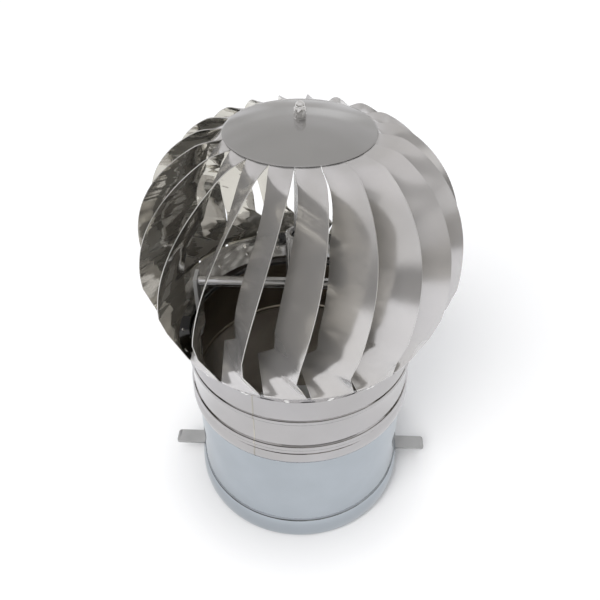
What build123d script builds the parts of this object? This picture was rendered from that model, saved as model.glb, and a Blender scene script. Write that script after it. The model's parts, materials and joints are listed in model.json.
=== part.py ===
from build123d import *
from math import sin, cos, radians, degrees, pi, atan2
import os

# Roof turbine ventilator for a round flue or duct.
# Millimetres, +Z up. The origin is the centre of the neck tube's lower rim.
# Azimuth is measured from -Y towards +X. The support tabs lie along X.

# ---- sheet metal -----------------------------------------------------------
sheet = 0.8                    # wall of every sheet piece
lap_gap = 0.05                 # space between lapped sheets

# ---- neck tube (fixed) -----------------------------------------------------
neck_radius = 125.0            # outside
neck_height = 232.0
rim_bulge = 5.0                # how far the rolled rim stands out
rim_height = 18.0
stop_bead_z = 160.0            # inward bead that stops the flue pipe
stop_bead_depth = 2.0
stop_bead_half = 4.0

# ---- support tabs ----------------------------------------------------------
tab_z = 25.0                   # underside
tab_width = 20.0
tab_thickness = 3.0
tab_reach = 41.0               # how far a tab stands out of the neck
tab_corner = 4.0
tab_weld = 0.05                # space between tab and rim

# ---- rotor collar ----------------------------------------------------------
collar_clearance = 1.5         # between neck and collar
collar_bottom = 146.5
collar_height = 97.5
lip_bulge = 3.0
lip_height = 19.0
bead_bulge = 2.6
bead_height = 10.0
bead_space = 2.0               # flat between the lip and the bead
thin_bead_bulge = 1.8
thin_bead_height = 8.0
thin_bead_drop = 31.0          # from the collar's top down to the thin bead

# ---- flared ring -----------------------------------------------------------
flare_reach = 17.0             # outwards
flare_rise = 24.0              # upwards
ring_overlap = 9.0             # straight part inside the collar

# ---- globe and blades ------------------------------------------------------
blades = 20
globe_radius = 166.0
globe_centre_z = 339.0
globe_upper = 152.0            # upper half height of the outline
globe_upper_power = 2.26
globe_lower = 262.0            # lower half height, cut off by the collar
globe_lower_power = 1.63
blade_first_azimuth = -1.45    # where the first slot points
blade_gap_angle = 0.5          # degrees between neighbours at the cap
blade_depth = 39.0             # inner edge behind the outer edge
blade_depth_run = 62.0         # how far out from the cap it is full
blade_sweep = 16.0             # degrees over its run
blade_sweep_run = 170.0        # down from the cap's rim
blade_sweep_power = 0.8
blade_narrowing = 6.5          # degrees by which the chord narrows
blade_narrowing_run = 45.0     # how far out from the cap it is done
blade_steps = 6                # sections from the cap to the widest place
fold_z = 328.0                 # outer end of the fold
fold_tilt = 12.0               # the inner end is lower
tip_drop = 25.0                # outer end of the flange below the fold
heel_drop = 16.0               # inner end of the flange below the fold
tip_tuck = 7.0                 # how far the tip turns inwards
heel_tuck = 4.0
tip_turn = 1.2                 # degrees
foot_top_width = 42.0
foot_low_width = 27.0
foot_edge = -1.8               # from the ring's rim down to the foot's bend
foot_height = 28.0             # along the slope
foot_gap = 0.1                 # between foot and ring
foot_facets = 4                # flats across a foot
twist_steps = 3                # rows of facets from the flange to the foot
foot_rivet_drops = (10.0, 20.0)  # down the slope from the bend

# ---- cap -------------------------------------------------------------------
cap_radius = 72.0
cap_rim_z = 475.0
cap_rise = 11.0
cap_lap = 9.0                  # blade top under the cap
cap_lap_gap = 0.45             # between cap and blade

# ---- rivets ----------------------------------------------------------------
rivet_radius = 1.6
rivet_head_radius = 3.0
rivet_head_height = 1.2
rivet_tail_height = 0.7
rivet_hole_gap = 0.05

# ---- fixed bridge ----------------------------------------------------------
bar_radius = 6.0
bar_wall = 1.5
bar_z = 296.0
leg_width = 20.0
leg_thickness = 4.0
leg_bottom = 175.0
leg_gap = 0.05                 # between leg and neck wall
leg_foot = 40.0                # part that lies on the neck wall
leg_joggle = 8.0               # how far the upper part steps inwards
leg_joggle_rise = 12.0
leg_head = 2.0                 # leg above the bar

# ---- bearing unit (8 x 22 x 7 ball bearings) --------------------------------
shaft_radius = 4.0
thread_radius = 3.0            # upper end of the shaft
bearing_radius = 11.0
bearing_width = 7.0
inner_race_radius = 6.1
outer_race_bore = 9.0
ball_circle = 7.5
ball_radius = 1.9
groove_gap = 0.12
balls = 7
cage_half_height = 2.7
cage_half_width = 0.55
fit_gap = 0.02                 # races on the shaft and in the housing
housing_wall = 4.0
housing_height = 62.0
housing_floor = 5.0
bearing_step = 1.5             # ledge that carries the lower bearing
clip_height = 1.2
clip_width = 2.5

# ---- shaft stack -----------------------------------------------------------
nut_flats = 13.0
nut_height = 6.5
washer_radius = 8.5
washer_height = 1.6
top_washer_radius = 5.5
top_washer_height = 0.8
top_flats = 10.0               # nuts above the cap
top_nut_height = 5.0
acorn_skirt = 4.5
acorn_dome = 6.0
spacer_wall = 2.0

# ---- worked out ------------------------------------------------------------
neck_bore = neck_radius - sheet
collar_inner = neck_radius + collar_clearance
collar_outer = collar_inner + sheet
collar_top = collar_bottom + collar_height
flare_angle = atan2(flare_rise, flare_reach)
flare_bend_radius = collar_inner - lap_gap
flare_bend_z = collar_top + lap_gap
flare_top_z = flare_bend_z + flare_rise
flare_top_radius = flare_bend_radius + flare_reach
leg_outer = ((neck_bore - leg_gap)**2 - (leg_width / 2)**2) ** 0.5
bar_half_length = leg_outer - leg_joggle - leg_thickness
housing_radius = bearing_radius + fit_gap + housing_wall
housing_bottom = bar_z + bar_radius - 2.0
lower_bearing_z = housing_bottom + housing_floor + bearing_step + nut_height + 1.0
upper_bearing_z = housing_bottom + housing_height - clip_height - bearing_width - 1.0
cap_sphere = (cap_radius**2 + cap_rise**2) / (2 * cap_rise)
cap_apex_z = cap_rim_z + cap_rise
cap_under_z = cap_apex_z - sheet
pitch = 360.0 / blades
blade_turn = blade_first_azimuth + pitch / 2
foot_sagitta = flare_top_radius * (1 - cos(foot_top_width / 2 / foot_facets / flare_top_radius))

os.makedirs("parts", exist_ok=True)


def save(shape, name):
    """Write one node."""
    export_step(shape, os.path.join("parts", name + ".step"))


def at(radius, azimuth, z):
    """Point at a radius, an azimuth in degrees and a height."""
    a = radians(azimuth)
    return Vector(radius * sin(a), -radius * cos(a), z)


def revolved(outline):
    """Turn a closed outline of (radius, z) lines and arcs about Z."""
    return revolve(make_face(Plane.XZ * outline), Axis.Z)


def ring(inner, outer, low, height):
    """Plain ring standing on a height."""
    body = Cylinder(outer, height, align=(Align.CENTER, Align.CENTER, Align.MIN))
    body -= Cylinder(inner, height, align=(Align.CENTER, Align.CENTER, Align.MIN))
    return Pos(0, 0, low) * body


def hexagon(flats, bore, low, height):
    """Hexagon nut blank with chamfered corners."""
    nut = extrude(RegularPolygon(flats / 2, 6, major_radius=False), height)
    corner_cone = Cone(flats / 2 + height * 1.7, flats / 2, height * 1.7,
                       align=(Align.CENTER, Align.CENTER, Align.MAX))
    nut &= Pos(0, 0, height + 0.3) * corner_cone
    nut -= Cylinder(bore, height * 3)
    return Pos(0, 0, low) * nut


def polar(shape, count, first):
    """Copies of a shape turned about Z, as one group of solids."""
    return Compound([Rot(0, 0, first + k * 360.0 / count) * shape for k in range(count)])


# ---- fixed pieces ----------------------------------------------------------
def neck_tube():
    """Tube with a rolled lower rim and an inward bead that stops the flue."""
    low, high = stop_bead_z - stop_bead_half, stop_bead_z + stop_bead_half
    inner_low = Line((neck_bore, 0), (neck_bore, low))
    inner_bead = ThreePointArc((neck_bore, low), (neck_bore - stop_bead_depth, stop_bead_z),
                               (neck_bore, high))
    inner_high = Line((neck_bore, high), (neck_bore, neck_height))
    top = Line((neck_bore, neck_height), (neck_radius, neck_height))
    outer_high = Line((neck_radius, neck_height), (neck_radius, high))
    outer_bead = ThreePointArc((neck_radius, high), (neck_radius - stop_bead_depth, stop_bead_z),
                               (neck_radius, low))
    outer_low = Line((neck_radius, low), (neck_radius, rim_height))
    rim = ThreePointArc((neck_radius, rim_height), (neck_radius + rim_bulge, rim_height / 2),
                        (neck_radius, 0))
    bottom = Line((neck_radius, 0), (neck_bore, 0))
    return revolved(Curve() + [inner_low, inner_bead, inner_high, top, outer_high, outer_bead,
                               outer_low, rim, bottom])


def support_tab(side):
    """Flat bar welded to the neck just above the rim."""
    inner = neck_radius - 1.0
    outer = neck_radius + tab_reach
    blank = Pos((inner + outer) / 2, 0) * Rectangle(outer - inner, tab_width)
    corners = blank.vertices().group_by(Axis.X)[-1]
    blank = fillet(corners, tab_corner)
    bar = Pos(0, 0, tab_z) * extrude(blank, tab_thickness)
    bar -= Cylinder(neck_radius + tab_weld, neck_height * 2)
    return bar if side > 0 else Rot(0, 0, 180) * bar


def bridge_leg(side):
    """Flat leg with a joggle: its foot lies on the neck wall, its head carries the bar."""
    low, foot_top = leg_bottom, leg_bottom + leg_foot
    top = bar_z + bar_radius + leg_head
    joggle_top = foot_top + leg_joggle_rise
    outside = [(leg_outer, low), (leg_outer, foot_top), (leg_outer - leg_joggle, joggle_top),
               (leg_outer - leg_joggle, top)]
    inside = [(x - leg_thickness, z) for x, z in reversed(outside)]
    profile = make_face(Plane.XZ * Polyline(*outside, *inside, close=True))
    leg = extrude(profile, leg_width / 2, both=True)
    return leg if side > 0 else Rot(0, 0, 180) * leg


def bridge_bar():
    """Round tube across the neck, from leg to leg, notched for the bearing housing."""
    bar = Rot(0, 90, 0) * (Cylinder(bar_radius, bar_half_length * 2 - lap_gap)
                           - Cylinder(bar_radius - bar_wall, bar_half_length * 2))
    seat = Cylinder(housing_radius + lap_gap, housing_height,
                    align=(Align.CENTER, Align.CENTER, Align.MIN))
    return Pos(0, 0, bar_z) * bar - Pos(0, 0, housing_bottom - lap_gap) * seat


def bearing_housing():
    """Cup welded on the bar that holds both bearings."""
    cup = Cylinder(housing_radius, housing_height, align=(Align.CENTER, Align.CENTER, Align.MIN))
    bore_low = housing_floor
    cup -= Pos(0, 0, bore_low) * Cylinder(outer_race_bore, housing_height,
                                          align=(Align.CENTER, Align.CENTER, Align.MIN))
    seat_z = lower_bearing_z - housing_bottom
    cup -= Pos(0, 0, seat_z) * Cylinder(bearing_radius + fit_gap, housing_height,
                                        align=(Align.CENTER, Align.CENTER, Align.MIN))
    clip_z = upper_bearing_z + bearing_width - housing_bottom
    groove_radius = bearing_radius + fit_gap + 1.0
    cup -= Pos(0, 0, clip_z) * Cylinder(groove_radius, clip_height + 0.1,
                                        align=(Align.CENTER, Align.CENTER, Align.MIN))
    edge = cup.edges().filter_by(GeomType.CIRCLE).group_by(Axis.Z)[-1].sort_by(SortBy.RADIUS)[-1]
    return Pos(0, 0, housing_bottom) * chamfer(edge, 1.0)


def outer_race(low):
    """Outer bearing race with its ball groove."""
    race = ring(outer_race_bore, bearing_radius, low, bearing_width)
    return race - Pos(0, 0, low + bearing_width / 2) * Torus(ball_circle, ball_radius + groove_gap)


def inner_race(low):
    """Inner bearing race with its ball groove."""
    race = ring(shaft_radius + fit_gap, inner_race_radius, low, bearing_width)
    return race - Pos(0, 0, low + bearing_width / 2) * Torus(ball_circle, ball_radius + groove_gap)


def ball_cage(low):
    """Ring with a round pocket for each ball."""
    middle = low + bearing_width / 2
    cage = ring(ball_circle - cage_half_width, ball_circle + cage_half_width,
                middle - cage_half_height, 2 * cage_half_height)
    pocket = Rot(90, 0, 0) * Cylinder(ball_radius + lap_gap, 6)
    for k in range(balls):
        cage -= Pos(0, 0, middle) * Rot(0, 0, k * 360.0 / balls) * Pos(0, -ball_circle, 0) * pocket
    return cage


def bearing_balls(low):
    """Ring of balls."""
    middle = low + bearing_width / 2
    return polar(Pos(0, -ball_circle, middle) * Sphere(ball_radius), balls, 0)


def outer_spacer():
    """Tube between the two outer races."""
    low = lower_bearing_z + bearing_width
    return ring(bearing_radius - 1.5, bearing_radius, low, upper_bearing_z - low)


def retaining_clip():
    """Open spring ring above the upper bearing."""
    outer = bearing_radius + 0.9
    clip = ring(outer - clip_width, outer, upper_bearing_z + bearing_width + lap_gap, clip_height - lap_gap)
    gap = Pos(0, -outer, upper_bearing_z + bearing_width) * Box(5, 2 * clip_width + 3, clip_height * 4)
    return clip - gap


# ---- shaft stack (turns) -----------------------------------------------------
lower_washer_z = cap_apex_z - cap_sphere + ((cap_sphere - sheet)**2 - washer_radius**2) ** 0.5 - washer_height
cap_nut_low = lower_washer_z - nut_height
top_nut_low = cap_apex_z + top_washer_height


def shaft():
    """Rod from below the lower bearing to the acorn nut, thinner above its shoulder."""
    low = lower_bearing_z - nut_height - 0.5
    high = top_nut_low + top_nut_height + acorn_skirt + 1.5
    rod = Cylinder(shaft_radius, lower_washer_z - low, align=(Align.CENTER, Align.CENTER, Align.MIN))
    rod += Cylinder(thread_radius, high - low, align=(Align.CENTER, Align.CENTER, Align.MIN))
    ends = rod.edges().filter_by(GeomType.CIRCLE).group_by(Axis.Z)
    return Pos(0, 0, low) * chamfer(ends[0] + ends[-1], 0.6)


def shaft_nut():
    """Nut under the lower bearing."""
    return hexagon(nut_flats, shaft_radius + fit_gap, lower_bearing_z - nut_height, nut_height)


def inner_spacer():
    """Tube between the two inner races."""
    low = lower_bearing_z + bearing_width
    return ring(shaft_radius + fit_gap, shaft_radius + spacer_wall, low, upper_bearing_z - low)


def cap_spacer():
    """Tube that carries the cap nut on the upper bearing."""
    low = upper_bearing_z + bearing_width
    return ring(shaft_radius + fit_gap, shaft_radius + spacer_wall, low, cap_nut_low - low)


def cap_nut():
    """Lock nut under the cap."""
    return hexagon(nut_flats, shaft_radius + fit_gap, cap_nut_low, nut_height)


def lower_washer():
    return ring(thread_radius + fit_gap, washer_radius, lower_washer_z, washer_height)


def upper_washer():
    return ring(thread_radius + fit_gap, top_washer_radius, cap_apex_z, top_washer_height)


def top_nut():
    return hexagon(top_flats, thread_radius + fit_gap, top_nut_low, top_nut_height)


def acorn_nut():
    """Domed nut on top of the stack."""
    skirt = hexagon(top_flats, thread_radius + fit_gap, 0, acorn_skirt)
    dome_radius = top_flats / 2 - 0.6
    neck = acorn_dome - dome_radius
    dome = Cylinder(dome_radius, neck, align=(Align.CENTER, Align.CENTER, Align.MIN))
    dome += Pos(0, 0, neck) * (Sphere(dome_radius) - Pos(0, 0, -dome_radius) * Box(20, 20, 2 * dome_radius))
    dome -= Cylinder(thread_radius + fit_gap, 4.0)
    return Pos(0, 0, top_nut_low + top_nut_height) * (skirt + Pos(0, 0, acorn_skirt) * dome)


# ---- rotor sheet work --------------------------------------------------------
def cap():
    """Shallow dome over the tops of the blades."""
    centre_z = cap_apex_z - cap_sphere
    inner = cap_sphere - sheet
    rim = (cap_radius, cap_rim_z)
    half = degrees(atan2(cap_radius, cap_rim_z - centre_z)) / 2
    outer_mid = (cap_sphere * sin(radians(half)), centre_z + cap_sphere * cos(radians(half)))
    inner_mid = (inner * sin(radians(half)), centre_z + inner * cos(radians(half)))
    full = radians(half * 2)
    inner_rim = (inner * sin(full), centre_z + inner * cos(full))
    outline = Curve() + [
        ThreePointArc((0, cap_apex_z), outer_mid, rim),
        Line(rim, inner_rim),
        ThreePointArc(inner_rim, inner_mid, (0, cap_under_z)),
        Line((0, cap_under_z), (0, cap_apex_z))]
    dome = revolved(outline)
    return dome - Pos(0, 0, cap_apex_z) * Cylinder(thread_radius + fit_gap, 20)


def bulge(radius, low, height, depth):
    """Outward arc of a rolled bead on a wall of a radius."""
    return ThreePointArc((radius, low), (radius + depth, low + height / 2), (radius, low + height))


def collar():
    """Skirt over the neck: rolled lip, full bead and a thin bead, all pressed in one sheet."""
    lip = collar_bottom, lip_height, lip_bulge
    bead = collar_bottom + lip_height + bead_space, bead_height, bead_bulge
    thin = collar_top - thin_bead_drop - thin_bead_height / 2, thin_bead_height, thin_bead_bulge
    curves = []
    for radius in (collar_inner, collar_outer):
        z = collar_bottom
        for low, height, depth in (lip, bead, thin):
            if low > z:
                curves.append(Line((radius, z), (radius, low)))
            curves.append(bulge(radius, low, height, depth))
            z = low + height
        curves.append(Line((radius, z), (radius, collar_top)))
    curves.append(Line((collar_inner, collar_bottom), (collar_outer, collar_bottom)))
    curves.append(Line((collar_inner, collar_top), (collar_outer, collar_top)))
    return revolved(Curve() + curves)


def flared_ring():
    """Cone that widens from the collar to the feet of the blades."""
    wall_x = sheet * sin(flare_angle)
    wall_z = sheet * cos(flare_angle)
    inside = flare_bend_radius - sheet
    inner_top = (flare_top_radius - wall_x, flare_top_z + wall_z)
    inner_bend_z = inner_top[1] - (inner_top[0] - inside) * flare_rise / flare_reach
    low = collar_top - ring_overlap
    outline = Polyline((flare_bend_radius, low), (flare_bend_radius, flare_bend_z),
                       (flare_top_radius, flare_top_z), inner_top, (inside, inner_bend_z),
                       (inside, low), close=True)
    return revolved(outline) - all_foot_rivets(rivet_radius + rivet_hole_gap, False)


# ---- blades -------------------------------------------------------------------
def globe_r(z):
    """Radius of the globe's outline at a height."""
    if z >= globe_centre_z:
        share = (z - globe_centre_z) / globe_upper
        return globe_radius * (1 - share**globe_upper_power) ** (1 / globe_upper_power)
    share = (globe_centre_z - z) / globe_lower
    return globe_radius * (1 - share**globe_lower_power) ** (1 / globe_lower_power)


def globe_z(radius):
    """Height of the upper outline at a radius."""
    share = (radius / globe_radius) ** globe_upper_power
    return globe_centre_z + globe_upper * (1 - share) ** (1 / globe_upper_power)


def share_of(run, radius):
    """Share of a change that is done at a radius, 0 at the cap and 1 past its run."""
    return min(max((radius - cap_radius) / run, 0.0), 1.0)


def sweep_at(z):
    """Degrees that the blade has turned back at a height."""
    share = max(cap_rim_z - z, 0.0) / blade_sweep_run
    return -blade_sweep * share**blade_sweep_power


def blade_edges(radius, z):
    """Outer and inner edge points of the blade where its outer edge passes a point."""
    below, above = globe_r(z - 0.5), globe_r(z + 0.5)
    length = ((below - above) ** 2 + 1.0) ** 0.5
    depth = blade_depth * share_of(blade_depth_run, radius)
    inner_r = radius - depth / length
    inner_z = z - depth * (below - above) / length
    done = share_of(blade_narrowing_run, radius)
    narrow = blade_narrowing * done * (2 - done)
    half_pitch = (pitch - blade_gap_angle) / 2
    outer = at(radius, half_pitch + sweep_at(z), z)
    inner = at(inner_r, -half_pitch + narrow + sweep_at(inner_z), inner_z)
    return outer, inner


def fold_edges():
    """Outer and inner end of the fold above the foot."""
    outer, inner = blade_edges(globe_r(fold_z), fold_z)
    return outer, Vector(inner.X, inner.Y, fold_z - fold_tilt)


def cap_under_at(radius):
    """Middle of a blade's sheet where it laps the cap's underside."""
    inner = cap_sphere - sheet - cap_lap_gap - sheet / 2
    return cap_apex_z - cap_sphere + (inner**2 - radius**2) ** 0.5


def blade_pairs():
    """Outer and inner edge points from the lap under the cap down to the fold."""
    half_pitch = (pitch - blade_gap_angle) / 2
    pairs = []
    for radius in (cap_radius - cap_lap, cap_radius):
        z = cap_under_at(radius)
        pairs.append((at(radius, half_pitch, z), at(radius, -half_pitch, z)))
    reach = globe_radius - cap_radius
    for k in range(1, blade_steps + 1):
        radius = cap_radius + reach * sin(pi / 2 * k / (blade_steps + 1))
        pairs.append(blade_edges(radius, globe_z(radius)))
    pairs.append(blade_edges(globe_radius, globe_centre_z))
    pairs.append(fold_edges())
    return pairs


def strip_section(outer, inner, facing):
    """Thin closed rectangle across the blade."""
    normal = (outer - inner).cross(facing).normalized() * (sheet / 2)
    return Wire.make_polygon([outer + normal, inner + normal, inner - normal, outer - normal], close=True)


def azimuth_of(point):
    return degrees(atan2(point.X, -point.Y))


def foot_middle():
    """Azimuth of the middle of the foot."""
    outer, inner = fold_edges()
    return (azimuth_of(outer) + azimuth_of(inner)) / 2


def on_cone(along, azimuth, out):
    """Point on the flared ring's outer face, some way down the slope from its rim."""
    radius = flare_top_radius - along * cos(flare_angle) + out * sin(flare_angle)
    return at(radius, azimuth, flare_top_z - along * sin(flare_angle) - out * cos(flare_angle))


def foot_row(along, width):
    """Points across the foot, following the cone."""
    out = sheet / 2 + foot_gap + foot_sagitta
    half = degrees(width / 2 / flare_top_radius)
    middle = foot_middle()
    return [on_cone(along, middle + half * (1 - 2 * k / foot_facets), out) for k in range(foot_facets + 1)]


def straight_row(outer, inner):
    """Points across the fold or the flange, as many as the foot has."""
    return [outer + (inner - outer) * (k / foot_facets) for k in range(foot_facets + 1)]


def foot_rows():
    """Rows of points down the folded end: the fold, the flange's edge, the twist and the foot."""
    outer, inner = fold_edges()
    heel_radius = (inner.X**2 + inner.Y**2) ** 0.5 - heel_tuck
    tip = at(globe_r(fold_z) - tip_tuck, azimuth_of(outer) - tip_turn, outer.Z - tip_drop)
    heel = at(heel_radius, azimuth_of(inner) - tip_turn, inner.Z - heel_drop)
    flange = straight_row(tip, heel)
    foot = foot_row(foot_edge, foot_top_width)
    rows = [straight_row(outer, inner), flange]
    for k in range(1, twist_steps):
        rows.append([a + (b - a) * (k / twist_steps) for a, b in zip(flange, foot)])
    return rows + [foot, foot_row(foot_edge + foot_height, foot_low_width)]


def skin_rows(rows):
    """Front and back rows of points of a sheet along its middle rows."""
    last = len(rows) - 1
    front, back = [], []
    for i, row in enumerate(rows):
        before, after = rows[max(i - 1, 0)], rows[min(i + 1, last)]
        front.append([])
        back.append([])
        for k, point in enumerate(row):
            across = row[max(k - 1, 0)] - row[min(k + 1, foot_facets)]
            normal = across.cross(after[k] - before[k]).normalized() * (sheet / 2)
            front[i].append(point + normal)
            back[i].append(point - normal)
    return front, back


def faceted(rows):
    """Closed sheet of flat facets along rows of points."""
    front, back = skin_rows(rows)
    last = len(rows) - 1
    fours = []
    for i in range(last):
        for side in (front, back):
            for k in range(foot_facets):
                fours.append((side[i][k], side[i][k + 1], side[i + 1][k + 1], side[i + 1][k]))
        for k in (0, foot_facets):
            fours.append((front[i][k], back[i][k], back[i + 1][k], front[i + 1][k]))
    for i in (0, last):
        for k in range(foot_facets):
            fours.append((front[i][k], front[i][k + 1], back[i][k + 1], back[i][k]))
    faces = []
    for a, b, c, d in fours:
        for corners in ((a, b, c), (a, c, d)):
            faces.append(Face(Wire.make_polygon(corners, close=True)))
    return Solid(Shell(faces))


def lofted(pairs):
    """Thin smooth solid through pairs of edge points."""
    sections = []
    for k, (outer, inner) in enumerate(pairs):
        before = pairs[max(k - 1, 0)]
        after = pairs[min(k + 1, len(pairs) - 1)]
        facing = (after[0] + after[1]) - (before[0] + before[1])
        sections.append(strip_section(outer, inner, facing.normalized()))
    return Solid.make_loft(sections)


def blade():
    """One blade: swept strip, fold, pointed tip and riveted foot."""
    body = lofted(blade_pairs()) + faceted(foot_rows())
    for hole in foot_rivets(rivet_radius + rivet_hole_gap, False):
        body -= hole
    return body


# ---- rivets -------------------------------------------------------------------
def rivet(radius, through, heads):
    """Rivet along +Z from the tail side: low tail, shank and domed head."""
    body = Cylinder(radius, through + (0 if heads else 8))
    if heads:
        head = Sphere((rivet_head_radius**2 + rivet_head_height**2) / (2 * rivet_head_height))
        head = Pos(0, 0, through / 2 + rivet_head_height
                   - (rivet_head_radius**2 + rivet_head_height**2) / (2 * rivet_head_height)) * head
        head -= Pos(0, 0, through / 2 - 50) * Box(100, 100, 100)
        tail = Pos(0, 0, -through / 2) * Cylinder(rivet_head_radius * 0.8, rivet_tail_height,
                                                  align=(Align.CENTER, Align.CENTER, Align.MAX))
        body += head + tail
    return body


def foot_rivets(radius, heads):
    """Rivets through one foot and the flared ring."""
    through = 2 * (sheet + foot_gap) + foot_sagitta
    placed = []
    for drop in foot_rivet_drops:
        place = on_cone(foot_edge + drop, 0, through / 2 - sheet - foot_gap / 2)
        placed.append(Rot(0, 0, foot_middle()) * Pos(*place)
                      * Rot(180 - degrees(flare_angle), 0, 0) * rivet(radius, through, heads))
    return placed


def all_foot_rivets(radius, heads):
    """Rivets of every foot, as one group of solids."""
    group = []
    for one in foot_rivets(radius, heads):
        group += polar(one, blades, blade_turn)
    return Compound(group)


# ---- write the nodes ------------------------------------------------------------
save(neck_tube(), "neck_tube")
save(support_tab(1), "support_tab_right")
save(support_tab(-1), "support_tab_left")
save(bridge_leg(1), "bridge_leg_right")
save(bridge_leg(-1), "bridge_leg_left")
save(bridge_bar(), "bridge_bar")
save(bearing_housing(), "bearing_housing")
save(retaining_clip(), "retaining_clip")
save(outer_spacer(), "outer_spacer")
for place, low in (("lower", lower_bearing_z), ("upper", upper_bearing_z)):
    save(outer_race(low), place + "_outer_race")
    save(inner_race(low), place + "_inner_race")
    save(ball_cage(low), place + "_ball_cage")
    save(bearing_balls(low), place + "_balls")

save(shaft(), "shaft")
save(shaft_nut(), "shaft_nut")
save(inner_spacer(), "inner_spacer")
save(cap_spacer(), "cap_spacer")
save(cap_nut(), "cap_nut")
save(lower_washer(), "lower_washer")
save(upper_washer(), "upper_washer")
save(top_nut(), "top_nut")
save(acorn_nut(), "acorn_nut")
save(cap(), "cap")
save(collar(), "collar")
save(flared_ring(), "flared_ring")
save(all_foot_rivets(rivet_radius, True), "foot_rivets")

first_blade = blade()
for k in range(blades):
    save(Rot(0, 0, blade_turn + k * pitch) * first_blade, f"blade_{k + 1:02d}")
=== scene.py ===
import bpy
import json
from math import sin, cos, pi, radians, degrees, atan2, sqrt
from mathutils import Vector, Matrix


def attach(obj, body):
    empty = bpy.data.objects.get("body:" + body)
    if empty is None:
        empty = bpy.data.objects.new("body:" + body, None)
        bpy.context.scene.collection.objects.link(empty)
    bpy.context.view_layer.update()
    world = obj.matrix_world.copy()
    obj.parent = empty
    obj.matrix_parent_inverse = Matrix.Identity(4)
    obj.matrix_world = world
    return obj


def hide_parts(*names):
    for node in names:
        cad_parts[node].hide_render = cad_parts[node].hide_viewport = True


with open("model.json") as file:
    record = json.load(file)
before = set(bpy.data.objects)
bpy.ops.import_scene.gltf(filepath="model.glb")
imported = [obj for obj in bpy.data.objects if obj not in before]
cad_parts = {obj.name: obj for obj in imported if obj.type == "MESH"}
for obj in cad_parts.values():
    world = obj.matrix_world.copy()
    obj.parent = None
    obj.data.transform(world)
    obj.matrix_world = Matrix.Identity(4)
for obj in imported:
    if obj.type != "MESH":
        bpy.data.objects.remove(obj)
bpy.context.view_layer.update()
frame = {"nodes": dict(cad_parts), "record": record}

# Metres, +Z up. Azimuth runs in degrees from -Y towards +X.
# ---- sheet metal sizes -------------------------------------------------------
SHEET = 0.0008
LAP_GAP = 0.00005
NECK_RADIUS = 0.125                 # outside
NECK_HEIGHT = 0.232
RIM_BULGE = 0.005                   # as on the CAD neck
RIM_HEIGHT = 0.034                  # higher than on the CAD neck
STOP_BEAD_Z = 0.160                 # inward bead that stops the flue pipe
STOP_BEAD_DEPTH = 0.002
STOP_BEAD_HALF = 0.004
COLLAR_CLEARANCE = 0.0015           # between neck and collar
COLLAR_INNER = NECK_RADIUS + COLLAR_CLEARANCE
COLLAR_BOTTOM = 0.1465
COLLAR_TOP = 0.244
# low end above the collar's bottom, height and depth of each rolled bead
COLLAR_BEADS = ((0.0, 0.019, 0.003), (0.021, 0.010, 0.0026), (0.0625, 0.008, 0.0018))
FLARE_REACH = 0.017                 # outwards
FLARE_RISE = 0.024                  # upwards
RING_OVERLAP = 0.009                # straight part inside the collar
FLARE_ANGLE = atan2(FLARE_RISE, FLARE_REACH)    # radians
FLARE_BEND_RADIUS = COLLAR_INNER - LAP_GAP
FLARE_BEND_Z = COLLAR_TOP + LAP_GAP
FLARE_TOP_RADIUS = FLARE_BEND_RADIUS + FLARE_REACH
FLARE_TOP_Z = FLARE_BEND_Z + FLARE_RISE
CAP_RADIUS = 0.072
CAP_RIM_Z = 0.475
CAP_RISE = 0.011
CAP_HOLE_RADIUS = 0.00302
CAP_SPHERE = (CAP_RADIUS ** 2 + CAP_RISE ** 2) / (2 * CAP_RISE)
CAP_APEX_Z = CAP_RIM_Z + CAP_RISE
CAP_LAP = 0.009                     # blade top under the cap
CAP_LAP_GAP = 0.00045               # between cap and blade
SEAM_AZIMUTH = -20.0
SEAM_WIDTH = 0.6                    # degrees
SEAM_HEIGHT = 0.00018

# ---- blades ------------------------------------------------------------------
BLADES = 20
PITCH = 360.0 / BLADES
FIRST_SLOT_AZIMUTH = -1.45
BLADE_TURN = FIRST_SLOT_AZIMUTH + PITCH / 2     # azimuth of the first blade's middle
GLOBE_RADIUS = 0.166
GLOBE_CENTRE_Z = 0.339
GLOBE_UPPER = 0.152                 # upper half height of the outline
GLOBE_UPPER_POWER = 2.26
GLOBE_LOWER = 0.262                 # lower half height, cut off by the collar
GLOBE_LOWER_POWER = 1.63
CAP_GAP_ANGLE = 0.5                 # degrees between neighbours at the cap
HALF_CHORD = (PITCH - CAP_GAP_ANGLE) / 2
SHOULDER_RADIUS = 0.100             # where the lap's curve has run into the globe
SHOULDER_SLOPE = -0.14
BLADE_DEPTH = 0.039                 # inner edge behind the outer edge
BLADE_DEPTH_RUN = 0.062             # how far out from the cap it is full
BLADE_SWEEP = 16.0                  # degrees over its run
BLADE_SWEEP_RUN = 0.170             # down from the cap's rim
BLADE_SWEEP_POWER = 0.8
BLADE_NARROWING = 6.5               # degrees by which the chord narrows
BLADE_NARROWING_RUN = 0.045         # how far out from the cap it is done
FOLD_Z = 0.328                      # outer end of the fold
FOLD_TILT = 0.012                   # the inner end is lower
TIP_DROP = 0.025                    # outer end of the flange below the fold
HEEL_DROP = 0.016                   # inner end of the flange below the fold
TIP_TUCK = 0.007                    # how far the tip turns inwards
HEEL_TUCK = 0.006                   # 2 mm more than on the CAD blade
HEEL_TURN = 7.5                     # degrees that widen the flange, which the CAD blade lacks
TIP_TURN = 1.2                      # degrees
FOOT_TOP_WIDTH = 0.042
FOOT_LOW_WIDTH = 0.027
FOOT_EDGE = -0.0018                 # from the ring's rim down to the foot's bend
FOOT_HEIGHT = 0.028                 # along the slope
FOOT_GAP = 0.0001                   # between foot and ring
BEND_WIDTH = 0.0015                 # of the round at the fold and at the foot's bend
BEND_ANGLE = 14.0                   # degrees, past which a crease is bent round

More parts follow.
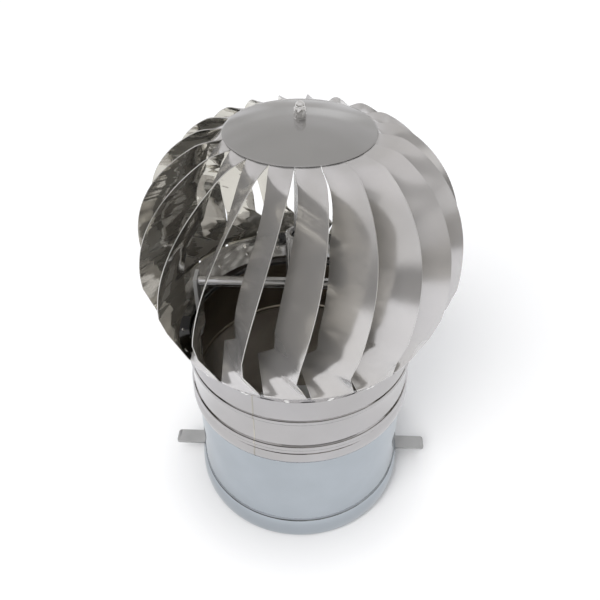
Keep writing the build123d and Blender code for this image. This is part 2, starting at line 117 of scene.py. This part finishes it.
# ---- steps -------------------------------------------------------------------
TURNED_STEPS = 192
CAP_STEPS = 24
ACROSS = 8                          # faces across a blade
LAP_ROWS = 2                        # and rows of them down each part of it
GLOBE_ROWS = 34
FOLD_ROWS = 4
FLANGE_ROWS = 5
TWIST_ROWS = 8
FOOT_ROWS = 8
SHEET_BEVEL = 0.00015
CAP_BEVEL = 0.0002
SHARP_ANGLE = 40.0                  # degrees, past which an edge is bevelled

# ---- studio ------------------------------------------------------------------
FLOOR_SIZE = 30.0
FLOOR_GLOW = 0.20                   # full from FLOOR_GLOW_FULL outwards, none at the neck
FLOOR_GLOW_FULL = 0.19
WORLD_STRENGTH = 0.40
WALL_STEPS = 48
WALL_RADIUS = 3.0
WALL_HEIGHT = 0.9
WALL_THICKNESS = 0.01
FRIEZE_HEIGHT = 0.6
SIDE_TURN = 105.0                   # degrees that a side strip covers
PALE_SIDE_RADIUS = 2.90
PALE_SIDE_LOW = 0.12
PALE_SIDE_START = -120.0            # azimuth of its first edge
DARK_SIDE_RADIUS = 2.88
DARK_SIDE_START = 8.0
LOW_CEILING_Z = 1.48
LOW_CEILING_INNER = 1.8
LOW_CEILING_OUTER = 2.98
LOW_CEILING_TURN = 130.0
LOW_CEILING_START = 115.0
LAMP_DISTANCE = 3.0
CAMERA_AZIMUTH = 2.1
CAMERA_DISTANCE = 0.5587            # from the axis
CAMERA_HEIGHT = 0.7334
CAMERA_PITCH = 39.56                # degrees below level
CAMERA_LENS = 38.90
CAMERA_SENSOR = 36.0


# ---- working by hand in edit mode ---------------------------------------------
def clear_selection():
    if bpy.context.object and bpy.context.object.mode != "OBJECT":
        bpy.ops.object.mode_set(mode="OBJECT")
    bpy.ops.object.select_all(action="DESELECT")


def take(piece):
    """Only this piece is selected and active."""
    clear_selection()
    piece.select_set(True)
    bpy.context.view_layer.objects.active = piece


def apply_modifiers(piece):
    take(piece)
    for modifier in list(piece.modifiers):
        bpy.ops.object.modifier_apply(modifier=modifier.name)


def finish_edges(piece, bevel=0.0, angle=35.0):
    """Rounds the sharp edges a little and smooths the rest."""
    if bevel:
        edge = piece.modifiers.new("edge", "BEVEL")
        edge.width = bevel
        edge.segments = 2
        edge.limit_method = "ANGLE"
        edge.angle_limit = radians(SHARP_ANGLE)
        apply_modifiers(piece)
    take(piece)
    bpy.ops.object.shade_smooth_by_angle(angle=radians(angle))


def settle(piece, name, body, slot, material, *nodes):
    """Names the piece, gives it its finish unless it has its own, and puts it on its body."""
    piece.name = name
    piece.data.name = name
    if material:
        piece.data.materials.clear()
        piece.data.materials.append(material)
    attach(piece, body)
    if nodes:
        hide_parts(*nodes)


def bead_arc(radius, low, height, depth, steps=10):
    """(radius, z) points of a rolled bead that stands out of a wall."""
    half = height / 2
    curve = (half ** 2 + depth ** 2) / (2 * abs(depth))
    side = 1 if depth > 0 else -1
    points = []
    for k in range(steps + 1):
        z = -half + height * k / steps
        points.append((radius + side * (sqrt(curve ** 2 - z ** 2) - (curve - abs(depth))), low + half + z))
    return points


def dome_arc(sphere, apex_z, start, end, steps):
    """(radius, z) points on a shallow dome between two radii."""
    points = []
    for k in range(steps + 1):
        radius = start + (end - start) * k / steps
        points.append((radius, apex_z - sphere + sqrt(sphere ** 2 - radius ** 2)))
    return points


def turned(outline, steps=TURNED_STEPS, angle=360.0, start=0.0):
    """A closed outline of (radius, z) points spun about Z, all the way or as a closed strip."""
    clear_selection()
    bpy.ops.mesh.primitive_plane_add(size=0.001, location=(outline[0][0], 0, outline[0][1]))
    piece = bpy.context.object
    bpy.ops.object.transform_apply(location=True, rotation=True, scale=True)
    bpy.ops.object.mode_set(mode="EDIT")
    bpy.ops.mesh.select_all(action="SELECT")
    bpy.ops.mesh.merge(type="CENTER")
    last = outline[0]
    for point in outline[1:] + outline[:1]:
        step = (point[0] - last[0], 0, point[1] - last[1])
        bpy.ops.mesh.extrude_region_move(TRANSFORM_OT_translate={"value": step})
        last = point
    bpy.ops.mesh.select_all(action="SELECT")
    bpy.ops.mesh.remove_doubles(threshold=0.000001)
    bpy.ops.mesh.spin(steps=steps, angle=radians(angle), center=(0, 0, 0), axis=(0, 0, 1))
    bpy.ops.mesh.select_all(action="SELECT")
    bpy.ops.mesh.remove_doubles(threshold=0.00001)
    if angle < 360:
        bpy.ops.mesh.select_all(action="DESELECT")
        bpy.ops.mesh.select_mode(type="EDGE")
        bpy.ops.mesh.select_non_manifold()
        bpy.ops.mesh.edge_face_add()
        bpy.ops.mesh.select_mode(type="VERT")
        bpy.ops.mesh.select_all(action="SELECT")
    bpy.ops.mesh.normals_make_consistent(inside=False)
    bpy.ops.object.mode_set(mode="OBJECT")
    piece.data.transform(Matrix.Rotation(radians(start), 4, "Z"))
    return piece


def copy_of(node):
    """A merged copy of a CAD node, to be smoothed."""
    piece = frame["nodes"][node].copy()
    piece.data = piece.data.copy()
    bpy.context.scene.collection.objects.link(piece)
    take(piece)
    bpy.ops.object.mode_set(mode="EDIT")
    bpy.ops.mesh.select_all(action="SELECT")
    bpy.ops.mesh.remove_doubles(threshold=0.000005)
    bpy.ops.object.mode_set(mode="OBJECT")
    return piece


# ---- finishes -------------------------------------------------------------------
def noise(tree, place, scale, detail=2.0):
    """A soft noise pattern over the given coordinates."""
    pattern = tree.nodes.new("ShaderNodeTexNoise")
    pattern.inputs["Scale"].default_value = scale
    pattern.inputs["Detail"].default_value = detail
    tree.links.new(place, pattern.inputs["Vector"])
    return pattern.outputs["Fac"]


def stretched(tree, place, scale):
    """The given coordinates, scaled by a different amount each way."""
    stretch = tree.nodes.new("ShaderNodeMapping")
    stretch.inputs["Scale"].default_value = scale
    tree.links.new(place, stretch.inputs["Vector"])
    return stretch.outputs["Vector"]


def two_tones(tree, pattern, low, high, low_at=0.0, high_at=1.0):
    """Runs from one colour to another along a pattern."""
    ramp = tree.nodes.new("ShaderNodeValToRGB")
    ramp.color_ramp.elements[0].position = low_at
    ramp.color_ramp.elements[0].color = low + (1.0,)
    ramp.color_ramp.elements[1].position = high_at
    ramp.color_ramp.elements[1].color = high + (1.0,)
    tree.links.new(pattern, ramp.inputs["Fac"])
    return ramp.outputs["Color"]


def raised(tree, pattern, strength, distance, under=None):
    """A bump by a pattern, on top of another bump if there is one."""
    bump = tree.nodes.new("ShaderNodeBump")
    bump.inputs["Strength"].default_value = strength
    bump.inputs["Distance"].default_value = distance
    tree.links.new(pattern, bump.inputs["Height"])
    if under:
        tree.links.new(under, bump.inputs["Normal"])
    return bump.outputs["Normal"]


def steel(name, colour, roughness, mottle=0.06, smudge=0.08, metallic=1.0, drift=0.0,
          lines=0.0, line_scale=1400.0, line_depth=0.0002, waves=0.0, wave_scale=9.0):
    """Rolled or polished steel: soft mottle, a drift from warm to cool, smudges, rolling lines, shallow dents."""
    material = bpy.data.materials.new(name)
    material.use_nodes = True
    tree = material.node_tree
    shader = tree.nodes["Principled BSDF"]
    shader.inputs["Metallic"].default_value = metallic
    place = tree.nodes.new("ShaderNodeTexCoord").outputs["Object"]

    low = tuple(c * (1 - mottle) for c in colour)
    high = tuple(min(c * (1 + mottle), 1.0) for c in colour)
    tint = two_tones(tree, noise(tree, place, 22.0, 4.0), low, high, 0.35, 0.65)
    if drift:
        warm = (1 - drift, 1 - drift * 1.05, 1 - drift * 1.15)
        cool = (1 - drift * 0.25, 1 - drift * 0.2, 1.0)
        blend = tree.nodes.new("ShaderNodeMix")
        blend.data_type = "RGBA"
        blend.blend_type = "MULTIPLY"
        blend.inputs["Factor"].default_value = 1.0
        tree.links.new(tint, blend.inputs["A"])
        tree.links.new(two_tones(tree, noise(tree, place, 7.0, 1.0), warm, cool, 0.38, 0.62), blend.inputs["B"])
        tint = blend.outputs["Result"]
    tree.links.new(tint, shader.inputs["Base Color"])

    if smudge:
        rough = tree.nodes.new("ShaderNodeMapRange")
        rough.inputs["From Min"].default_value = 0.3
        rough.inputs["From Max"].default_value = 0.7
        rough.inputs["To Min"].default_value = max(roughness - smudge / 2, 0.02)
        rough.inputs["To Max"].default_value = roughness + smudge / 2
        tree.links.new(noise(tree, place, 60.0, 6.0), rough.inputs["Value"])
        tree.links.new(rough.outputs["Result"], shader.inputs["Roughness"])
    else:
        shader.inputs["Roughness"].default_value = roughness

    relief = None
    if lines:
        along = (line_scale / 60, line_scale / 60, line_scale)
        relief = raised(tree, noise(tree, stretched(tree, place, along), 1.0), lines, line_depth)
    if waves:
        relief = raised(tree, noise(tree, place, wave_scale, 1.0), 1.0, waves, relief)
    if relief:
        tree.links.new(relief, shader.inputs["Normal"])
    return material


def plastic(name, colour):
    """Moulded plastic with a fine grain."""
    material = bpy.data.materials.new(name)
    material.use_nodes = True
    tree = material.node_tree
    shader = tree.nodes["Principled BSDF"]
    shader.inputs["Roughness"].default_value = 0.5
    place = tree.nodes.new("ShaderNodeTexCoord").outputs["Object"]
    dark = tuple(c * 0.8 for c in colour)
    tree.links.new(two_tones(tree, noise(tree, place, 900.0), dark, colour), shader.inputs["Base Color"])
    return material


blade_face = steel("blade_face", (0.60, 0.585, 0.575), 0.16, mottle=0.02, smudge=0.0, metallic=0.68,
                   drift=0.10, waves=0.004)
blade_back = steel("blade_back", (0.64, 0.62, 0.56), 0.05, mottle=0.05, smudge=0.02, metallic=0.85,
                   lines=1.0, line_scale=70.0, line_depth=0.0016, waves=0.020, wave_scale=14.0)
blade_edge = steel("blade_edge", (0.58, 0.57, 0.55), 0.35, metallic=0.8)
cap_steel = steel("cap_steel", (0.40, 0.395, 0.39), 0.13, mottle=0.02, smudge=0.02, metallic=0.9, waves=0.002)
collar_steel = steel("collar_steel", (0.48, 0.47, 0.475), 0.08, mottle=0.03, drift=0.08, waves=0.002)
# Grey steel whose bluish tint is a painted reflection of a bluish-grey floor.
neck_steel_painted_reflection = steel("neck_steel_painted_reflection", (0.405, 0.44, 0.475), 0.08, mottle=0.03, waves=0.001)
neck_inside = steel("neck_inside", (0.44, 0.40, 0.35), 0.22, mottle=0.10, waves=0.002)
ring_steel = steel("ring_steel", (0.48, 0.48, 0.49), 0.10, waves=0.002)
bar_steel = steel("bar_steel", (0.42, 0.42, 0.42), 0.50, mottle=0.12, metallic=0.35)
tube_steel = steel("tube_steel", (0.62, 0.62, 0.63), 0.14)
turned_steel = steel("turned_steel", (0.56, 0.56, 0.57), 0.25)
fastener_steel = steel("fastener_steel", (0.78, 0.77, 0.76), 0.04, smudge=0.02)
bearing_steel = steel("bearing_steel", (0.62, 0.62, 0.64), 0.10)
seam_steel = steel("seam_steel", (0.44, 0.42, 0.37), 0.22, mottle=0.25)
cage_plastic = plastic("cage_plastic", (0.06, 0.06, 0.06))


# ---- neck, collar, ring and cap ----------------------------------------------------
def rim_roll(steps=24):
    """(radius, z) points up the full, rounded roll at the neck's lower end."""
    turns = [pi * k / steps for k in range(steps + 1)]
    return [(NECK_RADIUS + RIM_BULGE * sin(turn), RIM_HEIGHT / 2 * (1 - cos(turn))) for turn in turns]


def make_neck():
    """The rolled tube. What faces the axis above the rim has the duller inside finish."""
    bore = NECK_RADIUS - SHEET
    low = STOP_BEAD_Z - STOP_BEAD_HALF
    high = STOP_BEAD_Z + STOP_BEAD_HALF
    outside = [(NECK_RADIUS, NECK_HEIGHT)]
    outside += bead_arc(NECK_RADIUS, low, high - low, -STOP_BEAD_DEPTH)[::-1]
    outside += rim_roll()[::-1]
    inside = [(bore, 0.0)] + bead_arc(bore, low, high - low, -STOP_BEAD_DEPTH) + [(bore, NECK_HEIGHT)]
    piece = turned(outside + inside)
    finish_edges(piece, SHEET_BEVEL)
    settle(piece, "neck_shell", "stator", "mill_sheet", neck_steel_painted_reflection, "neck_tube")
    piece.data.materials.append(neck_inside)
    for face in piece.data.polygons:
        toward_axis = face.normal.x * face.center.x + face.normal.y * face.center.y < 0
        face.material_index = 1 if toward_axis and face.center.z > RIM_HEIGHT else 0


def collar_side(radius):
    """(radius, z) points up one side of the collar."""
    points = [(radius, COLLAR_BOTTOM)]
    for rise, height, depth in COLLAR_BEADS:
        arc = bead_arc(radius, COLLAR_BOTTOM + rise, height, depth)
        points += arc[1:] if rise == 0.0 else arc
    return points + [(radius, COLLAR_TOP)]


def make_collar():
    piece = turned(collar_side(COLLAR_INNER + SHEET) + collar_side(COLLAR_INNER)[::-1])
    finish_edges(piece, SHEET_BEVEL)
    settle(piece, "collar_shell", "rotor", "polished_sheet", collar_steel, "collar")


def make_collar_seam():
    """Weld seam up the collar, slightly raised."""
    outside = collar_side(COLLAR_INNER + SHEET)
    proud = [(radius + SEAM_HEIGHT, z) for radius, z in outside]
    piece = turned(proud + outside[::-1], 3, SEAM_WIDTH, -90 + SEAM_AZIMUTH)
    finish_edges(piece, angle=40)
    settle(piece, "collar_seam", "rotor", "polished_sheet", seam_steel)


def make_flared_ring():
    """The ring inside the collar's top that spreads outwards to carry the blades' feet."""
    wall_x = SHEET * sin(FLARE_ANGLE)
    wall_z = SHEET * cos(FLARE_ANGLE)
    inside = FLARE_BEND_RADIUS - SHEET
    inner_top = (FLARE_TOP_RADIUS - wall_x, FLARE_TOP_Z + wall_z)
    inner_bend_z = inner_top[1] - (inner_top[0] - inside) * FLARE_RISE / FLARE_REACH
    low = COLLAR_TOP - RING_OVERLAP
    outline = [(FLARE_BEND_RADIUS, low), (FLARE_BEND_RADIUS, FLARE_BEND_Z),
               (FLARE_TOP_RADIUS, FLARE_TOP_Z), inner_top, (inside, inner_bend_z), (inside, low)]
    piece = turned(outline)
    finish_edges(piece, SHEET_BEVEL)
    settle(piece, "flared_ring_shell", "rotor", "polished_sheet", ring_steel, "flared_ring")


def make_cap():
    over = dome_arc(CAP_SPHERE, CAP_APEX_Z, CAP_HOLE_RADIUS, CAP_RADIUS, CAP_STEPS)
    under_rim = CAP_RADIUS * (CAP_SPHERE - SHEET) / CAP_SPHERE
    under = dome_arc(CAP_SPHERE - SHEET, CAP_APEX_Z - SHEET, CAP_HOLE_RADIUS, under_rim, CAP_STEPS)
    piece = turned(over + under[::-1])
    finish_edges(piece, CAP_BEVEL)
    settle(piece, "cap_dome", "rotor", "polished_sheet", cap_steel, "cap")


# ---- blades -----------------------------------------------------------------------
def at(radius, azimuth, z):
    turn = radians(azimuth)
    return Vector((radius * sin(turn), -radius * cos(turn), z))


def azimuth_of(point):
    return degrees(atan2(point.x, -point.y))


def globe_r(z):
    """Radius of the head's outline at a height."""
    if z >= GLOBE_CENTRE_Z:
        share = (z - GLOBE_CENTRE_Z) / GLOBE_UPPER
        return GLOBE_RADIUS * (1 - share ** GLOBE_UPPER_POWER) ** (1 / GLOBE_UPPER_POWER)
    share = (GLOBE_CENTRE_Z - z) / GLOBE_LOWER
    return GLOBE_RADIUS * (1 - share ** GLOBE_LOWER_POWER) ** (1 / GLOBE_LOWER_POWER)


def globe_z(radius):
    """Height of the outline's upper half at a radius."""
    share = (radius / GLOBE_RADIUS) ** GLOBE_UPPER_POWER
    return GLOBE_CENTRE_Z + GLOBE_UPPER * (1 - share) ** (1 / GLOBE_UPPER_POWER)


def shoulder_z(radius, lap_z):
    """Height of the blade's outer edge, led smoothly from the lap under the cap into the globe."""
    run = SHOULDER_RADIUS - CAP_RADIUS
    share = (radius - CAP_RADIUS) / run
    if share >= 1:
        return globe_z(radius)
    step = 0.0001
    end = globe_z(SHOULDER_RADIUS)
    end_slope = (globe_z(SHOULDER_RADIUS + step) - end) / step * run
    start_slope = SHOULDER_SLOPE * run
    done = share ** 2 * (3 - 2 * share)
    start_curve = start_slope * share * (1 - share) ** 2
    end_curve = end_slope * share ** 2 * (1 - share)
    return lap_z * (1 - done) + end * done + start_curve - end_curve


def share_of(run, radius):
    """How much of a run out from the cap's rim is done at a radius, 0 to 1."""
    return min(max((radius - CAP_RADIUS) / run, 0.0), 1.0)


def sweep_at(z):
    """Degrees by which the blade is swept back at a height."""
    share = max(CAP_RIM_Z - z, 0.0) / BLADE_SWEEP_RUN
    return -BLADE_SWEEP * share ** BLADE_SWEEP_POWER


def blade_edges(radius, z):
    """Outer and inner end of a straight row across the blade, square to the outline."""
    step = 0.0005
    below, above = globe_r(z - step), globe_r(z + step)
    length = sqrt((below - above) ** 2 + (2 * step) ** 2)
    depth = BLADE_DEPTH * share_of(BLADE_DEPTH_RUN, radius)
    inner_r = radius - depth * 2 * step / length
    inner_z = z - depth * (below - above) / length
    done = share_of(BLADE_NARROWING_RUN, radius)
    narrow = BLADE_NARROWING * done * (2 - done)
    outer = at(radius, HALF_CHORD + sweep_at(z), z)
    inner = at(inner_r, -HALF_CHORD + narrow + sweep_at(inner_z), inner_z)
    return outer, inner


def fold_edges():
    outer, inner = blade_edges(globe_r(FOLD_Z), FOLD_Z)
    return outer, Vector((inner.x, inner.y, FOLD_Z - FOLD_TILT))


def on_cone(along, azimuth, out):
    """A point on the flared ring's outside, down its slope from the rim and off its surface."""
    radius = FLARE_TOP_RADIUS - along * cos(FLARE_ANGLE) + out * sin(FLARE_ANGLE)
    return at(radius, azimuth, FLARE_TOP_Z - along * sin(FLARE_ANGLE) - out * cos(FLARE_ANGLE))


def straight_row(outer, inner):
    return [outer.lerp(inner, k / ACROSS) for k in range(ACROSS + 1)]


def foot_row(along, width):
    """A row across the foot, which lies round the ring below the fold's middle."""
    outer, inner = fold_edges()
    middle = (azimuth_of(outer) + azimuth_of(inner)) / 2
    half = degrees(width / 2 / FLARE_TOP_RADIUS)
    out = SHEET / 2 + FOOT_GAP
    return [on_cone(along, middle + half * (1 - 2 * k / ACROSS), out) for k in range(ACROSS + 1)]


def between(first, last, steps):
    """Rows between two rows, the last one included."""
    rows = []
    for k in range(1, steps + 1):
        rows.append([a.lerp(b, k / steps) for a, b in zip(first, last)])
    return rows


def blade_rows():
    """Rows of points across the blade, from its lap under the cap to the foot's lower edge."""
    rows = []
    sphere = CAP_SPHERE - SHEET - CAP_LAP_GAP - SHEET / 2
    for k in range(LAP_ROWS + 1):
        radius = CAP_RADIUS - CAP_LAP + CAP_LAP * k / LAP_ROWS
        z = CAP_APEX_Z - CAP_SPHERE + sqrt(sphere ** 2 - radius ** 2)
        rows.append(straight_row(at(radius, HALF_CHORD, z), at(radius, -HALF_CHORD, z)))
    lap_z = rows[-1][0].z
    reach = GLOBE_RADIUS - CAP_RADIUS
    for k in range(1, GLOBE_ROWS + 1):
        radius = CAP_RADIUS + reach * sin(pi / 2 * k / GLOBE_ROWS)
        z = shoulder_z(radius, lap_z) if k < GLOBE_ROWS else GLOBE_CENTRE_Z
        rows.append(straight_row(*blade_edges(radius, z)))
    outer, inner = fold_edges()
    fold = straight_row(outer, inner)
    rows += between(rows[-1], fold, FOLD_ROWS)
    tip = at(globe_r(FOLD_Z) - TIP_TUCK, azimuth_of(outer) - TIP_TURN, outer.z - TIP_DROP)
    heel_radius = sqrt(inner.x ** 2 + inner.y ** 2) - HEEL_TUCK
    heel = at(heel_radius, azimuth_of(inner) - TIP_TURN - HEEL_TURN, inner.z - HEEL_DROP)
    flange = straight_row(tip, heel)
    foot = foot_row(FOOT_EDGE, FOOT_TOP_WIDTH)
    rows += between(fold, flange, FLANGE_ROWS)
    rows += between(flange, foot, TWIST_ROWS)
    for k in range(1, FOOT_ROWS + 1):
        share = k / FOOT_ROWS
        rows.append(foot_row(FOOT_EDGE + FOOT_HEIGHT * share,
                             FOOT_TOP_WIDTH + (FOOT_LOW_WIDTH - FOOT_TOP_WIDTH) * share))
    return rows


def make_blade():
    """The first blade: a grid bent to the blade's rows, then given its thickness."""
    rows = blade_rows()
    clear_selection()
    bpy.ops.mesh.primitive_grid_add(x_subdivisions=ACROSS, y_subdivisions=len(rows) - 1, size=0.1)
    piece = bpy.context.object
    for index, vertex in enumerate(piece.data.vertices):
        row, column = divmod(index, ACROSS + 1)
        vertex.co = rows[row][column]
    middle = piece.data.polygons[len(piece.data.polygons) // 2]
    if middle.normal.dot(Vector((middle.center.x, middle.center.y, 0))) < 0:
        piece.data.flip_normals()
    for finish in (blade_face, blade_back, blade_edge):
        piece.data.materials.append(finish)
    bend = piece.modifiers.new("bend", "BEVEL")
    bend.width = BEND_WIDTH
    bend.segments = 3
    bend.limit_method = "ANGLE"
    bend.angle_limit = radians(BEND_ANGLE)
    wall = piece.modifiers.new("wall", "SOLIDIFY")
    wall.thickness = SHEET
    wall.offset = 0.0
    wall.use_even_offset = True
    wall.material_offset = 1
    wall.material_offset_rim = 2
    apply_modifiers(piece)
    finish_edges(piece, angle=30)
    return piece


def make_blades():
    """The other blades are copies of the first, each turned to its place in the mesh."""
    pieces = [make_blade()]
    for _ in range(1, BLADES):
        piece = pieces[0].copy()
        piece.data = pieces[0].data.copy()
        bpy.context.scene.collection.objects.link(piece)
        pieces.append(piece)
    for k, piece in enumerate(pieces):
        piece.data.transform(Matrix.Rotation(radians(BLADE_TURN + k * PITCH), 4, "Z"))
        node = "blade_%02d" % (k + 1)
        settle(piece, "swept_" + node, "rotor", "polished_sheet", None, node)


# ---- CAD nodes that keep their shape --------------------------------------------------
NODE_FINISH = {
    "support_tab_right": bar_steel, "support_tab_left": bar_steel,
    "bridge_leg_right": bar_steel, "bridge_leg_left": bar_steel, "bridge_bar": tube_steel,
    "bearing_housing": turned_steel, "outer_spacer": turned_steel, "inner_spacer": turned_steel,
    "cap_spacer": turned_steel, "shaft": turned_steel, "retaining_clip": bearing_steel,
    "lower_outer_race": bearing_steel, "upper_outer_race": bearing_steel,
    "lower_inner_race": bearing_steel, "upper_inner_race": bearing_steel,
    "lower_balls": bearing_steel, "upper_balls": bearing_steel,
    "lower_ball_cage": cage_plastic, "upper_ball_cage": cage_plastic,
    "shaft_nut": fastener_steel, "cap_nut": fastener_steel, "lower_washer": fastener_steel,
    "upper_washer": fastener_steel, "top_nut": fastener_steel, "acorn_nut": fastener_steel,
    "foot_rivets": fastener_steel}
SLOT_OF = {part["node"]: part["material_slot"] for part in frame["record"]["subparts"]}
BODY_OF = {node: body for body, group in frame["record"]["behaviour"]["bodies"].items() for node in group}


def finish_nodes():
    """Bars, bearing unit and fasteners: the CAD shapes with smoothed faces and their finishes."""
    for node, finish in NODE_FINISH.items():
        piece = copy_of(node)
        finish_edges(piece, angle=32)
        settle(piece, node + "_finished", BODY_OF[node], SLOT_OF[node], finish, node)


# ---- floor, light and camera --------------------------------------------------------
def seen_rays(tree):
    """1 for the rays by which the background is seen, straight or in metal and glass, and 0 for its light."""
    ray = tree.nodes.new("ShaderNodeLightPath")
    seen = ray.outputs["Is Camera Ray"]
    for kind in ("Is Glossy Ray", "Is Transmission Ray"):
        either = tree.nodes.new("ShaderNodeMath")
        either.operation = "MAXIMUM"
        tree.links.new(seen, either.inputs[0])
        tree.links.new(ray.outputs[kind], either.inputs[1])
        seen = either.outputs["Value"]
    return seen


def make_floor():
    """White paper that glows a little away from the neck, so that it runs into the background."""
    clear_selection()
    bpy.ops.mesh.primitive_plane_add(size=FLOOR_SIZE, location=(0, 0, 0))
    floor = bpy.context.object
    floor.name = "studio_floor"
    material = bpy.data.materials.new("floor_paper")
    material.use_nodes = True
    tree = material.node_tree
    nodes, links = tree.nodes, tree.links
    paper = nodes["Principled BSDF"]
    paper.inputs["Base Color"].default_value = (0.86, 0.86, 0.87, 1.0)
    paper.inputs["Roughness"].default_value = 0.9
    paper.inputs["Specular IOR Level"].default_value = 0.0
    distance = nodes.new("ShaderNodeVectorMath")
    distance.operation = "LENGTH"
    links.new(nodes.new("ShaderNodeTexCoord").outputs["Object"], distance.inputs[0])
    around = nodes.new("ShaderNodeMapRange")
    around.inputs["From Min"].default_value = NECK_RADIUS
    around.inputs["From Max"].default_value = FLOOR_GLOW_FULL
    around.inputs["To Max"].default_value = FLOOR_GLOW
    links.new(distance.outputs["Value"], around.inputs["Value"])
    level = nodes.new("ShaderNodeMath")
    level.operation = "MULTIPLY"
    links.new(seen_rays(tree), level.inputs[0])
    links.new(around.outputs["Result"], level.inputs[1])
    glow = nodes.new("ShaderNodeEmission")
    links.new(level.outputs["Value"], glow.inputs["Strength"])
    both = nodes.new("ShaderNodeAddShader")
    links.new(paper.outputs["BSDF"], both.inputs[0])
    links.new(glow.outputs["Emission"], both.inputs[1])
    links.new(both.outputs["Shader"], nodes["Material Output"].inputs["Surface"])
    floor.data.materials.append(material)


def make_world():
    """Soft light all round, seen as plain white."""
    world = bpy.data.worlds.new("studio")
    bpy.context.scene.world = world
    world.use_nodes = True
    tree = world.node_tree
    nodes, links = tree.nodes, tree.links
    soft = nodes["Background"]
    soft.inputs["Color"].default_value = (0.97, 0.98, 1.0, 1.0)
    soft.inputs["Strength"].default_value = WORLD_STRENGTH
    white = nodes.new("ShaderNodeBackground")
    white.inputs["Color"].default_value = (1.0, 1.0, 1.0, 1.0)
    white.inputs["Strength"].default_value = 1.0
    mix = nodes.new("ShaderNodeMixShader")
    links.new(seen_rays(tree), mix.inputs["Fac"])
    links.new(soft.outputs["Background"], mix.inputs[1])
    links.new(white.outputs["Background"], mix.inputs[2])
    links.new(mix.outputs["Shader"], nodes["World Output"].inputs["Surface"])


def reflected_only(piece, name, dark, light, stretch):
    """A studio flag with soft patches that only shows in polished metal."""
    piece.name = name
    material = bpy.data.materials.new(name)
    material.use_nodes = True
    tree = material.node_tree
    place = tree.nodes.new("ShaderNodeTexCoord").outputs["Object"]
    patches = noise(tree, stretched(tree, place, stretch), 1.0)
    glow = tree.nodes.new("ShaderNodeEmission")
    tree.links.new(two_tones(tree, patches, dark, light, 0.42, 0.60), glow.inputs["Color"])
    tree.links.new(glow.outputs["Emission"], tree.nodes["Material Output"].inputs["Surface"])
    piece.data.materials.append(material)
    piece.visible_camera = False
    piece.visible_diffuse = False
    piece.visible_shadow = False
    piece.visible_transmission = False


def wall_ring(name, low, height, filled, **tones):
    """A round wall, or a ceiling where it is filled."""
    clear_selection()
    bpy.ops.mesh.primitive_cylinder_add(vertices=WALL_STEPS, radius=WALL_RADIUS, depth=height,
                                        end_fill_type="NGON" if filled else "NOTHING",
                                        location=(0, 0, low + height / 2))
    reflected_only(bpy.context.object, name, **tones)


def part_ring(name, inner, outer, low, high, turn, start, **tones):
    """A strip that runs part of the way round, from the azimuth start onwards."""
    outline = [(inner, low), (inner, high), (outer, high), (outer, low)]
    reflected_only(turned(outline, WALL_STEPS, turn, -90 + start), name, **tones)


def make_flags():
    """Dark and pale walls round the studio and a grey ceiling over it, for the reflections."""
    ceiling = WALL_HEIGHT + FRIEZE_HEIGHT
    wall_ring("dark_walls", 0.0, WALL_HEIGHT, False,
              dark=(0.08, 0.074, 0.062), light=(0.44, 0.42, 0.385), stretch=(1.3, 1.3, 1.2))
    part_ring("pale_side", PALE_SIDE_RADIUS, PALE_SIDE_RADIUS + WALL_THICKNESS,
              PALE_SIDE_LOW, WALL_HEIGHT, SIDE_TURN, PALE_SIDE_START,
              dark=(0.62, 0.61, 0.60), light=(0.95, 0.95, 0.97), stretch=(0.9, 0.9, 0.6))
    part_ring("dark_side", DARK_SIDE_RADIUS, DARK_SIDE_RADIUS + WALL_THICKNESS,
              0.0, WALL_HEIGHT, SIDE_TURN, DARK_SIDE_START,
              dark=(0.05, 0.046, 0.040), light=(0.16, 0.15, 0.135), stretch=(1.1, 1.1, 0.8))
    part_ring("low_ceiling", LOW_CEILING_INNER, LOW_CEILING_OUTER,
              LOW_CEILING_Z, LOW_CEILING_Z + WALL_THICKNESS, LOW_CEILING_TURN, LOW_CEILING_START,
              dark=(0.36, 0.355, 0.35), light=(0.44, 0.435, 0.43), stretch=(0.4, 0.4, 1.0))
    wall_ring("pale_frieze", WALL_HEIGHT, FRIEZE_HEIGHT, False,
              dark=(0.55, 0.54, 0.53), light=(1.0, 1.0, 1.0), stretch=(0.5, 0.5, 0.2))
    wall_ring("grey_ceiling", ceiling, WALL_THICKNESS, True,
              dark=(0.66, 0.65, 0.64), light=(0.80, 0.79, 0.80), stretch=(0.4, 0.4, 1.0))


def soft_lamp(name, azimuth, elevation, strength, spread, tint):
    """A far lamp that shines on the object from an azimuth and an elevation."""
    data = bpy.data.lights.new(name, "SUN")
    data.energy = strength
    data.angle = radians(spread)
    data.color = tint
    lamp = bpy.data.objects.new(name, data)
    bpy.context.scene.collection.objects.link(lamp)
    lamp.visible_glossy = False
    rise = radians(elevation)
    lamp.location = at(LAMP_DISTANCE * cos(rise), azimuth, LAMP_DISTANCE * sin(rise))
    lamp.rotation_euler = (-lamp.location).to_track_quat("-Z", "Y").to_euler()


def make_camera():
    data = bpy.data.cameras.new("camera")
    data.lens = CAMERA_LENS
    data.sensor_width = CAMERA_SENSOR
    data.clip_start = 0.01
    camera = bpy.data.objects.new("camera", data)
    bpy.context.scene.collection.objects.link(camera)
    camera.location = at(CAMERA_DISTANCE, CAMERA_AZIMUTH, CAMERA_HEIGHT)
    camera.rotation_euler = (radians(90 - CAMERA_PITCH), 0, radians(CAMERA_AZIMUTH))
    bpy.context.scene.camera = camera


# ---- the object, then the studio ------------------------------------------------------
make_neck()
make_collar()
make_collar_seam()
make_flared_ring()
make_cap()
make_blades()
finish_nodes()
make_floor()
make_world()
make_flags()
soft_lamp("key", -32.0, 46.0, 2.0, 35.0, (1.0, 0.99, 0.97))
soft_lamp("top", 20.0, 80.0, 0.6, 40.0, (0.98, 0.99, 1.0))
make_camera()
bpy.context.scene.view_settings.view_transform = "Standard"
